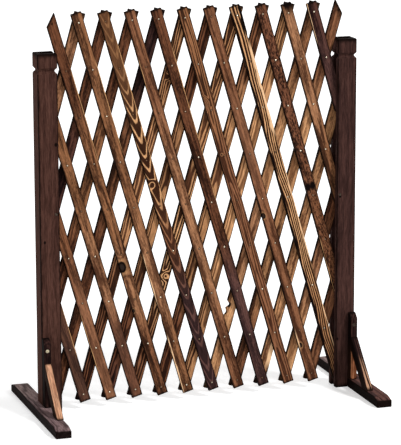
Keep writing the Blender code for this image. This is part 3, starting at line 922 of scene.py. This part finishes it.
def slat_grid(slat, steps):
    """Along = start + (end - start) x step, across and depth from the section, and the way
    from the nearer end, for each ring and each point of the section."""
    section = rounded_section(slat["half"], (LAYER_OUTER - LAYER_INNER) / 2, SLAT_CORNER)
    share = (section[:, 0] / slat["half"] + 1) / 2
    starts, ends = (
        low + (high - low) * share for low, high in (slat["starts"], slat["ends"])
    )
    along = starts + (ends - starts) * steps[:, None]
    across, depth = (np.repeat(section[None, :, way], len(steps), axis=0) for way in (0, 1))
    return along, across, depth, np.minimum(along - starts, ends - along)


def slat_surface(slat, bites, draw):
    """Place = origin + along x down + across x right + depth x back, ring by ring, with one
    more, slightly smaller ring at each end."""
    along, across, depth, from_end = slat_grid(slat, slat_steps(max(slat["ends"]), bites))
    across, depth = weather(slat, along, across, depth, bites, draw)
    timber = np.stack([along, across, depth], axis=-1)
    cap_scale = 1 - END_ROUND / slat["half"]
    shrink = (1, cap_scale, cap_scale)
    timber = np.concatenate([timber[:1] * shrink, timber, timber[-1:] * shrink])
    along[0] += END_ROUND
    along[-1] -= END_ROUND
    along = np.concatenate([along[:1] - END_ROUND, along, along[-1:] + END_ROUND])
    middle = (LAYER_OUTER + LAYER_INNER) / 2 * (-1 if slat["front"] else 1)
    across, depth = timber[..., 1], timber[..., 2] + middle
    points = slat["origin"] + along[..., None] * slat["down"] + across[..., None] * slat["right"]
    points = points + depth[..., None] * np.array((0.0, 1.0, 0.0))
    beyond = np.full((1, along.shape[1]), -CAP_BEYOND)
    from_end = np.concatenate([beyond, from_end, beyond])
    faces = grid_faces(*along.shape)
    return points.reshape(-1, 3), faces, timber.reshape(-1, 3), from_end.ravel()


print("rings every", SLAT_STEP, "m, or every", BITE_STEP, "m on a slat with bites")

# %% [markdown]
# ## Each board's own character
#
# No two flamed boards are alike, and the eye notices when they are. So each slat names its
# look and its tone, and may name the tones that it changes to and where, its pith, its
# knots, swirls and scars, its worn, bleached and scorched edges, any bite out of an edge,
# and tweaks to its look. Places run down the slat from its top and across it to the right,
# in metres. A knot gives along, across and radius; an edge line its side, where it begins
# and stops and, unless it is only worn, its thickness; a bite where it is, its side, its
# size and half its length.

# %% The front boards
FRONT_BOARDS = {
    "front_slat_01": dict(look="plain", tone="bark", worn=[(1, 0.02, 0.16)]),
    "front_slat_02": dict(
        look="plain", tone="umber", later=[("clay", 0.18)], worn=[(-1, 0.25, 0.42)]
    ),
    "front_slat_03": dict(look="plain", tone="brown", later=[("light", 0.28), ("cocoa", 0.48)]),
    "front_slat_04": dict(
        look="plain", tone="dark", later=[("brown", 0.25), ("light", 0.58), ("umber", 0.72)],
        worn=[(1, 0.12, 0.4)], knots=[(0.594, -0.0066, 0.0084), (0.700, -0.0105, 0.003)],
    ),
    "front_slat_05": dict(
        look="plain", tone="brown", later=[("light", 0.5), ("brown", 0.72)],
        worn=[(1, 0.10, 0.34)], bleached=[(-1, 0.56, 0.70, 0.0030), (-1, 0.76, 0.92, 0.0034)],
        bites=[(0.72, -1, 0.0020, 0.018), (0.80, -1, 0.0016, 0.014)],
    ),
    "front_slat_06": dict(
        look="cathedral", tone="olive", later=[("tan", 0.2), ("red", 0.47), ("plum", 0.62)],
        pith=(0.001, 0.009), worn=[(1, 0.05, 0.5)], swirls=[(0.406, -0.0020, 0.0038)],
        tweaks=dict(taper=0.190, ring_width=0.0074),
    ),
    "front_slat_07": dict(
        look="plain", tone="red", later=[("light", 0.28), ("red", 0.72)], worn=[(-1, 0.1, 0.2)]
    ),
    "front_slat_08": dict(
        look="plain", tone="dark", later=[("plum", 0.60)], worn=[(1, 0.08, 0.5)],
        tweaks=dict(figure=0.15, patches=0.30),
    ),
    "front_slat_09": dict(
        look="lined", tone="brown", later=[("red", 0.3)], swirls=[(0.222, -0.012, 0.0055)],
        knots=[(0.345, -0.005, 0.0016)],
    ),
    "front_slat_10": dict(
        look="plain", tone="red", later=[("clay", 0.24), ("red", 0.44)],
        bleached=[(-1, 0.775, 0.84, 0.0034)],
        knots=[(0.497, -0.0092, 0.0045), (0.820, -0.0075, 0.0038)],
    ),
    "front_slat_11": dict(
        look="striped", tone="tan", later=[("golden", 0.66)], pith=(-0.020, 0.003),
        tweaks=dict(ring_width=0.0045, dark_from=0.32, ink=0.80, streaks=0.30, patches=0.20),
        bleached=[(1, 0.08, 0.32, 0.0060), (1, 0.38, 0.62, 0.0034), (1, 0.68, 0.90, 0.0028)],
        scorched=[(1, -0.1, 0.085, 0.0095), (-1, 0.0, 0.95, 0.0044)],
        bites=[(0.075, 1, 0.0018, 0.012), (0.188, 1, 0.0016, 0.010), (0.245, 1, 0.0012, 0.010)],
    ),
    "front_slat_12": dict(
        look="mottled", tone="rust", later=[("umber", 0.4)], worn=[(-1, 0.55, 0.8)],
        scars=[(0.436, -0.006, 0.009), (0.436, 0.006, 0.009)],
    ),
    "front_slat_13": dict(
        look="plain", tone="light", later=[("brown", 0.3)], scorched=[(1, -0.1, 0.035, 0.020)]
    ),
    "front_slat_14": dict(
        look="plain", tone="black", later=[("plum", 0.1)], bleached=[(-1, -0.02, 0.10, 0.0020)]
    ),
}
print(len(FRONT_BOARDS), "front boards described")

# %% The back boards
BACK_BOARDS = {
    "back_slat_01": dict(look="plain", tone="light"),
    "back_slat_02": dict(look="plain", tone="dark", later=[("black", 0.25)]),
    "back_slat_03": dict(look="plain", tone="dark", later=[("brown", 0.24), ("dark", 0.48)]),
    "back_slat_04": dict(look="plain", tone="soot", later=[("umber", 0.24), ("dark", 0.5)]),
    "back_slat_05": dict(
        look="cathedral", tone="golden", later=[("wheat", 0.24), ("umber", 0.58), ("dark", 0.74)],
        pith=(0.004, 0.006), swirls=[(0.158, 0.002, 0.0030)],
        tweaks=dict(taper=0.030, ring_width=0.0056, dark_from=0.28, ink=0.30),
    ),
    "back_slat_06": dict(
        look="lined", tone="dark", later=[("golden", 0.26), ("dark", 0.62), ("black", 0.84)]
    ),
    "back_slat_07": dict(
        look="cathedral", tone="golden", later=[("wheat", 0.20), ("tan", 0.42), ("umber", 0.72)],
        pith=(-0.004, 0.007), swirls=[(0.628, -0.001, 0.0044)],
        tweaks=dict(taper=0.040, ring_width=0.0056, dark_from=0.34, ink=0.30),
    ),
    "back_slat_08": dict(
        look="lined", tone="umber", later=[("wheat", 0.20), ("golden", 0.46), ("dark", 0.68)]
    ),
    "back_slat_09": dict(look="lined", tone="golden", later=[("honey", 0.14), ("golden", 0.66)]),
    "back_slat_10": dict(
        look="plain", tone="brown", later=[("honey", 0.22), ("light", 0.44), ("honey", 0.66)],
        bites=[(0.712, -1, 0.0085, 0.010), (0.730, -1, 0.005, 0.012)],
        scars=[(0.712, -0.0065, 0.0062), (0.731, -0.0105, 0.0050)],
    ),
    "back_slat_11": dict(
        look="plain", tone="red", later=[("honey", 0.22), ("golden", 0.42), ("umber", 0.72)]
    ),
    "back_slat_12": dict(
        look="plain", tone="golden", later=[("wheat", 0.20), ("umber", 0.68)],
        worn=[(1, 0.3, 0.42)], bleached=[(1, 0.56, 0.66, 0.0120)],
    ),
    "back_slat_13": dict(look="plain", tone="dark", later=[("light", 0.14), ("honey", 0.32)]),
    "back_slat_14": dict(look="plain", tone="red"),
}
print(len(BACK_BOARDS), "back boards described")

# %% [markdown]
# ## A slat's finish
#
# The board's colour is burnt at its borders first, then its edge lines are drawn over the burn, because the
# rubbing and bleaching came after the flame, and the nail stains come last. The front slats are burnt only a
# little way in from their ends. The back slats are darkened further in, which is char and painted shade on the
# tips that lie behind the front layer, so each layer scales the way to the end by a share of its own.

# %% Finish a slat
SLAT_ROUGHNESS = 0.6
WORN_THICKNESS = 0.0021
SIDE_SCORCH = 0.94
FRONT_END_SHARE = 1.8
# The back slats' ends darken further in: char, and painted shade on the tips that lie behind the front layer.
BACK_END_CHAR_AND_SHADE = 0.5
STAIN_REACH = 0.0036
STAIN_SHARE = 0.75


def draw_edge_lines(recipe, timber, half_width, board, colour):
    """Thin lines along the long edges: rubbed bare, bleached pale or scorched black."""
    rubbed = [(*line, WORN_THICKNESS, BARE_WOOD) for line in board.get("worn", [])]
    bleached = [(*line, BLEACHED_WOOD) for line in board.get("bleached", [])]
    scorched = [(*line, CHAR) for line in board.get("scorched", [])]
    for side, begins, stops, thickness, shade in rubbed + bleached + scorched:
        line = recipe.use(
            worn_group, Timber=timber, Half_Width=half_width, Side=side, From=begins,
            To=stops, Thickness=thickness,
        )["Worn"]
        colour = recipe.mix(line, colour, shade)
    return colour


def slat_material(slat, board, pith, first_nail, pitch):
    """The flamed finish for one slat, read from the slat's own wood coordinates."""
    material, recipe, shader = start_material(f"flamed {slat['name']}")
    timber = recipe.attribute("timber")["Vector"]
    colour, depth, fibre = wood_colour(recipe, timber, board, pith)
    end_share = FRONT_END_SHARE if slat["front"] else BACK_END_CHAR_AND_SHADE
    from_end = recipe.math("MULTIPLY", recipe.attribute("from_end")["Fac"], end_share)
    burn_and_shade = recipe.use(
        border_group, Timber=timber, From_End=from_end, Half_Width=slat["half"],
        Reach=LOOKS[board["look"]]["border"],
    )["Side"]
    stain = recipe.use(
        stain_group, Timber=timber, First=first_nail, Pitch=pitch, Reach=STAIN_REACH
    )["Stain"]
    colour = recipe.mix(recipe.math("MULTIPLY", burn_and_shade, SIDE_SCORCH), colour, CHAR)
    colour = draw_edge_lines(recipe, timber, slat["half"], board, colour)
    colour = recipe.mix(recipe.math("MULTIPLY", stain, STAIN_SHARE), colour, CHAR)
    finish_wood(recipe, shader, colour, depth, fibre, SLAT_ROUGHNESS)
    return material


print("a worn line is", WORN_THICKNESS, "m wide")

# %% [markdown]
# ## Where the nails go
#
# A nail goes through every crossing but two, so the crossings have to be found before the
# stains and the nails can be placed. A front slat's middle line and a back slat's cross
# where two equations agree, one for each direction in the lattice's plane. Pairs whose lines
# meet outside either slat are dropped. The two crossings that hang on the posts' pins are
# marked, and get no nail.

# %% Find the crossings
CLEAR_OF_NAILS = 0.012
IN_PLANE = [0, 2]
fronts = [slat for slat in slats if slat["front"]]
backs = [slat for slat in slats if not slat["front"]]
pins = [np.mean(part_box(f"pivot_pin_{word}"), axis=0) for word in ("left", "right")]


def crossings(slat):
    """How far down a front slat it meets each back slat that it really crosses."""
    places = []
    for other in backs:
        gap = (other["origin"] - slat["origin"])[IN_PLANE]
        sides = np.stack([slat["down"][IN_PLANE], -other["down"][IN_PLANE]], axis=1)
        own, others = np.linalg.solve(sides, gap)
        inside = all(
            CLEAR_OF_NAILS < place < max(one["ends"]) - CLEAR_OF_NAILS
            for one, place in ((slat, own), (other, others))
        )
        spot = slat["origin"] + own * slat["down"]
        pinned = any(np.linalg.norm((spot - pin)[IN_PLANE]) < CLEAR_OF_NAILS for pin in pins)
        if inside:
            places.append((own, others, other["name"], pinned))
    return places


meetings = {slat["name"]: crossings(slat) for slat in fronts}
NAIL_PITCH = float(np.diff(sorted(place[0] for place in meetings["front_slat_06"])).mean())
first_nails = {name: min(place[0] for place in found) for name, found in meetings.items()}
for found in meetings.values():
    for own, others, other_name, _ in found:
        first_nails[other_name] = min(others, first_nails.get(other_name, others))
crossing_count = sum(len(found) for found in meetings.values())
print(crossing_count, "crossings,", round(NAIL_PITCH, 4), "m apart")

# %% [markdown]
# ## All the slats
#
# Each slat now gets its surface and its finish, takes its solid's place and moves with the
# solid's body. Where a board doesn't say where its pith lay, a seeded draw picks it, so
# that every run gives the same boards.

# %% Make the slats
FIRST_SEED = 41
SLAT_PITHS = dict(across=0.012, depths=(0.004, 0.022))
record_bodies = frame["record"]["behaviour"]["bodies"]
body_names = {node: body for body, members in record_bodies.items() for node in members}


def random_pith(draw, across, depths):
    """A pith beside or below the board: how far across and how deep."""
    return draw.uniform(-across, across), draw.uniform(*depths)


boards = {**FRONT_BOARDS, **BACK_BOARDS}
for number, slat in enumerate(slats):
    draw = np.random.default_rng(FIRST_SEED + number)
    board = boards[slat["name"]]
    surface = slat_surface(slat, board.get("bites", []), draw)
    piece = make_piece(f"board_{slat['name']}", *surface)
    pith = board.get("pith") or random_pith(draw, **SLAT_PITHS)
    piece.data.materials.append(
        slat_material(slat, board, pith, first_nails[slat["name"]], NAIL_PITCH)
    )
    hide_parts(slat["name"])
    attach(piece, body_names[slat["name"]])
print(len(slats), "slats made")

# %% [markdown]
# ## The metal
#
# Nails, bolts and screws are plated steel, bright on some and dark on others. Plain metal
# would look new, so a speckle of tarnish dulls its colour and roughens it in spots.

# %% Mix the metals
METALS = {
    "nail steel": dict(
        colour=seen(236, 222, 196), speckle=seen(108, 82, 62), roughness=0.32, scale=23.0
    ),
    "plated steel": dict(
        colour=seen(222, 212, 184), speckle=seen(160, 146, 118), roughness=0.32, scale=700.0
    ),
    "dark steel": dict(
        colour=seen(92, 80, 70), speckle=seen(46, 36, 31), roughness=0.45, scale=700.0
    ),
}
TARNISH_ROUGHNESS = 0.25
TARNISH_DETAIL = 3.0
TARNISH_LIMITS = (0.38, 0.56)


def make_metal(name, colour, speckle, roughness, scale):
    """Plated steel: a metal whose colour and roughness are dulled by a speckle."""
    material, recipe, shader = start_material(name)
    place = recipe.add("ShaderNodeTexCoord").outputs["Object"]
    spots = recipe.noise(recipe.stretch(place, (scale, scale, scale)), TARNISH_DETAIL)
    dull = recipe.ramp(spots, *TARNISH_LIMITS)
    recipe.feed(shader.inputs["Metallic"], 1.0)
    recipe.feed(shader.inputs["Base Color"], recipe.mix(dull, colour, speckle))
    rough = recipe.ramp(dull, 0.0, 1.0, roughness, roughness + TARNISH_ROUGHNESS)
    recipe.feed(shader.inputs["Roughness"], rough)
    return material


metals = {name: make_metal(name, **values) for name, values in METALS.items()}
print("metals:", ", ".join(metals))

# %% [markdown]
# ## The nails
#
# Each nail has a low round head in front and a peened tail behind. Each of the two is a
# profile turned round an axis, as on a lathe: a grid of radius by angle. They are repeated
# at every crossing by adding arrays. All the nails of one slat are one piece, because they
# move with it, and a hundred separate objects would only be harder to handle.

# %% Make the nails
NAIL_SIDES = 12
HEAD_PROFILE = ((0.0018, -0.0004), (0.0018, 0.0002), (0.0014, 0.0006), (0.0007, 0.0008))
TAIL_PROFILE = ((0.0012, -0.0008), (0.0021, 0.0001), (0.0020, 0.0007), (0.0010, 0.0011))
TAIL_GAP = 0.0002


def turned_cap(profile):
    """Radius x cosine, radius x sine and height, for each ring of the profile and each step
    of the turn, closed by a small flat face at each end."""
    angles = np.arange(NAIL_SIDES) * PI_TWICE / NAIL_SIDES
    rings = np.array(profile)
    points = np.stack([
        rings[:, :1] * np.cos(angles), rings[:, :1] * np.sin(angles),
        np.repeat(rings[:, 1:], NAIL_SIDES, axis=1),
    ], axis=-1)
    return points.reshape(-1, 3), grid_faces(len(profile), NAIL_SIDES)


def nails_for(slat, places):
    """Heads stand on the front face and tails on the back face of the slat behind."""
    points, faces = [], []
    for profile, face, outward in (
        (HEAD_PROFILE, -LAYER_OUTER, -1), (TAIL_PROFILE, LAYER_OUTER + TAIL_GAP, 1),
    ):
        cap, cap_faces = turned_cap(profile)
        shape = np.stack([cap[:, 0], face + outward * cap[:, 2], cap[:, 1]], axis=1)
        for place in places:
            first = sum(len(group) for group in points)
            points.append(shape + slat["origin"] + place * slat["down"])
            faces += [[corner + first for corner in corners] for corners in cap_faces]
    return np.concatenate(points), faces


for slat in fronts:
    places = [own for own, _, _, pinned in meetings[slat["name"]] if not pinned]
    piece = make_piece(f"nails_{slat['name']}", *nails_for(slat, places))
    piece.data.materials.append(metals["nail steel"])
    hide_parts(slat["name"])
    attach(piece, body_names[slat["name"]])
print("nails made on", len(fronts), "slats")

# %% [markdown]
# ## The posts, feet and braces
#
# The solid model already has these in their true shape, so they keep it and get their
# finish. Their grain runs along different axes, so a Mapping node centres each one's
# coordinates and turns them until the first runs along the grain, as it does on the slats.
# The flame blackened the posts' long corners. The thinner pieces are darkened over their whole sides and ends,
# partly by char and partly as painted shade on the faces that the light from above misses.
# Here places count from the piece's middle, upwards, or backwards on a foot.

# %% Describe the stands
STANDS = {
    "post_left": dict(
        look="post", tone="post",
        scars=[(0.205, 0.0165, 0.0042), (0.050, 0.0210, 0.0042), (-0.012, -0.0120, 0.0034)],
    ),
    "post_right": dict(
        look="post", tone="shaded post",
        scars=[(0.046, -0.0150, 0.0038), (-0.289, -0.0185, 0.0032)],
    ),
    # The left foot's grey tone is its brown with painted sheen in it.
    "foot_left": dict(look="foot", tone="grey", later=[("painted sheen", 0.05)], fade=0.10),
    "foot_right": dict(look="foot", tone="plum", later=[("painted sheen", 0.04)], fade=0.05),
    "brace_leg_left": dict(look="brace", tone="soot"),
    "brace_leg_right": dict(look="brace", tone="amber", later=[("soot", 0.0)], fade=0.02),
    "brace_strut_left": dict(look="brace", tone="blush"),
    "brace_strut_right": dict(
        look="striped", tone="ash", later=[("soot", 0.0)], fade=0.03,
        tweaks=dict(ring_width=0.0044, dark_from=0.45, wander=0.050),
    ),
}
GRAIN_TURNS = {
    "post": (QUARTER_TURN, 0.0, QUARTER_TURN),
    "foot": (0.0, 0.0, -QUARTER_TURN),
    "brace_leg": (QUARTER_TURN, 0.0, QUARTER_TURN),
    "brace_strut": (-QUARTER_TURN / 2, 0.0, -QUARTER_TURN),
}
LENGTH_AXES = {"post": 2, "foot": 1, "brace_leg": 2, "brace_strut": 1}
print(len(STANDS), "pieces of the stands described")

# %% Finish the stands
STAND_ROUGHNESS = 0.55
# How black the borders get: char on the posts' corners, char and painted shade on the sides and ends of the feet
# and braces.
STAND_SCORCH_AND_SHADE = 0.97
STAND_PITHS = dict(across=0.03, depths=(0.01, 0.04))


def stand_material(node, board, kind):
    """The flamed finish for a piece of the stands, its grain turned to lie along it."""
    material, recipe, shader = start_material(f"flamed {node}")
    low, high = (np.array(corner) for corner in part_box(node))
    sizes = high - low
    centre = recipe.add("ShaderNodeMapping", vector_type="POINT")
    recipe.feed(centre.inputs["Vector"], recipe.add("ShaderNodeTexCoord").outputs["Object"])
    recipe.feed(centre.inputs["Location"], (-(low + high) / 2).tolist())
    turn = recipe.add("ShaderNodeMapping", vector_type="POINT")
    recipe.feed(turn.inputs["Vector"], centre.outputs[0])
    recipe.feed(turn.inputs["Rotation"], GRAIN_TURNS[kind])
    timber = turn.outputs[0]
    draw = np.random.default_rng(FIRST_SEED + len(slats) + list(STANDS).index(node))
    pith = random_pith(draw, **STAND_PITHS)
    colour, depth, fibre = wood_colour(recipe, timber, board, pith)
    reached = recipe.math("ABSOLUTE", recipe.split(centre.outputs[0])[LENGTH_AXES[kind]])
    from_end = recipe.math("SUBTRACT", sizes[LENGTH_AXES[kind]] / 2, reached)
    # On the feet and braces this darkens whole side and end faces: char with painted shade.
    burn_and_shade = recipe.use(
        border_group, Timber=timber, From_End=from_end, Half_Width=sizes[0] / 2,
        Half_Depth=sizes[1] / 2, Reach=LOOKS[board["look"]]["border"],
    )["Arris" if kind == "post" else "Side"]
    colour = recipe.mix(recipe.math("MULTIPLY", burn_and_shade, STAND_SCORCH_AND_SHADE), colour, CHAR)
    finish_wood(recipe, shader, colour, depth, fibre, STAND_ROUGHNESS)
    return material


def dress(node, material):
    """Give a carried-over node its material."""
    mesh = nodes[node].data
    mesh.materials.clear()
    mesh.materials.append(material)


for node, board in STANDS.items():
    dress(node, stand_material(node, board, node.rsplit("_", 1)[0]))
for node in nodes:
    if "screw" in node or node == "brace_bolt_left":
        dress(node, metals["plated steel"])
    if "pin" in node or node == "brace_bolt_right":
        dress(node, metals["dark steel"])
print("stands finished")

# %% [markdown]
# ## The white room
#
# The object stands in a white room. To the camera and in a shiny surface the room is plain
# white, but it lights the object only dimly, so that the lamps can model it. A Light Path
# node tells the two apart, which a brighter world could not.

# %% Set the room
WHITE = (1.0, 1.0, 1.0, 1.0)
WORLD_LEVEL = 0.36


def seen_directly(recipe):
    """One for rays from the camera, from gloss or through glass, none for the others."""
    path = recipe.add("ShaderNodeLightPath").outputs
    direct = recipe.math("MAXIMUM", path["Is Camera Ray"], path["Is Glossy Ray"])
    return recipe.math("MAXIMUM", direct, path["Is Transmission Ray"])


world = bpy.data.worlds.new("white room")
world.use_nodes = True
bpy.context.scene.world = world
room = Recipe(world.node_tree)
background = world.node_tree.nodes["Background"]
room.feed(background.inputs["Color"], WHITE)
room.feed(
    background.inputs["Strength"], room.ramp(seen_directly(room), 0.0, 1.0, WORLD_LEVEL, 1.0)
)
print("the room lights the object at", WORLD_LEVEL)

# %% [markdown]
# ## The lamps
#
# Broad, sun-like lamps light the object evenly, so that the slats shade each other softly.
# The key comes from the upper right, the fill softens its shadows from the left, and the
# last one comes over the lattice from behind. Small lamps close by would be brighter on one
# post than on the other.

# %% Set the lamps
LAMPS = {
    "key": dict(azimuth=40.0, elevation=46.0, strength=2.3, spread=12.0),
    "fill": dict(azimuth=-30.0, elevation=25.0, strength=0.35, spread=60.0),
    "back": dict(azimuth=165.0, elevation=50.0, strength=0.9, spread=40.0),
}
for name, values in LAMPS.items():
    lamp = bpy.data.objects.new(name, bpy.data.lights.new(name, "SUN"))
    lamp.data.energy = values["strength"]
    lamp.data.angle = math.radians(values["spread"])
    towards = direction(math.radians(values["azimuth"]), math.radians(values["elevation"]))
    place_looking(lamp, np.array(AIM) + towards * CAMERA_DISTANCE, AIM)
print("lamps:", ", ".join(LAMPS))

# %% [markdown]
# ## The floor
#
# A white floor runs off into the white room. It also glows a little, enough to reach white
# wherever the object's shadow doesn't fall. More light would make it white too, but would
# wash out the wood.

# %% Lay the floor
FLOOR_SIZE = 60.0
FLOOR_COLOUR = (0.8, 0.8, 0.8, 1.0)
FLOOR_GLOW = 0.46


def white_floor():
    """A dull white surface plus a glow, which only the rays of seen_directly meet."""
    material, recipe, shader = start_material("white floor")
    recipe.feed(shader.inputs["Base Color"], FLOOR_COLOUR)
    recipe.feed(shader.inputs["Roughness"], 1.0)
    recipe.feed(shader.inputs["Specular IOR Level"], 0.0)
    glow = recipe.add("ShaderNodeEmission")
    recipe.feed(glow.inputs["Color"], WHITE)
    strength = recipe.math("MULTIPLY", seen_directly(recipe), FLOOR_GLOW)
    recipe.feed(glow.inputs["Strength"], strength)
    both = recipe.add("ShaderNodeAddShader")
    recipe.feed(both.inputs[0], shader.outputs[0])
    recipe.feed(both.inputs[1], glow.outputs[0])
    recipe.feed(material.node_tree.nodes["Material Output"].inputs[0], both.outputs[0])
    return material


floor_mesh = bpy.data.meshes.new("floor")
half = FLOOR_SIZE / 2
floor_mesh.from_pydata(
    [(-half, -half, 0), (half, -half, 0), (half, half, 0), (-half, half, 0)], [], [(0, 1, 2, 3)]
)
floor_mesh.materials.append(white_floor())
floor = bpy.data.objects.new("floor", floor_mesh)
bpy.context.scene.collection.objects.link(floor)
print("floor", FLOOR_SIZE, "m wide")

# %% [markdown]
# ## Colour
#
# The Standard view shows a colour as it was written, where a filmic one would grey it.

# %% Set the view
bpy.context.scene.view_settings.view_transform = "Standard"
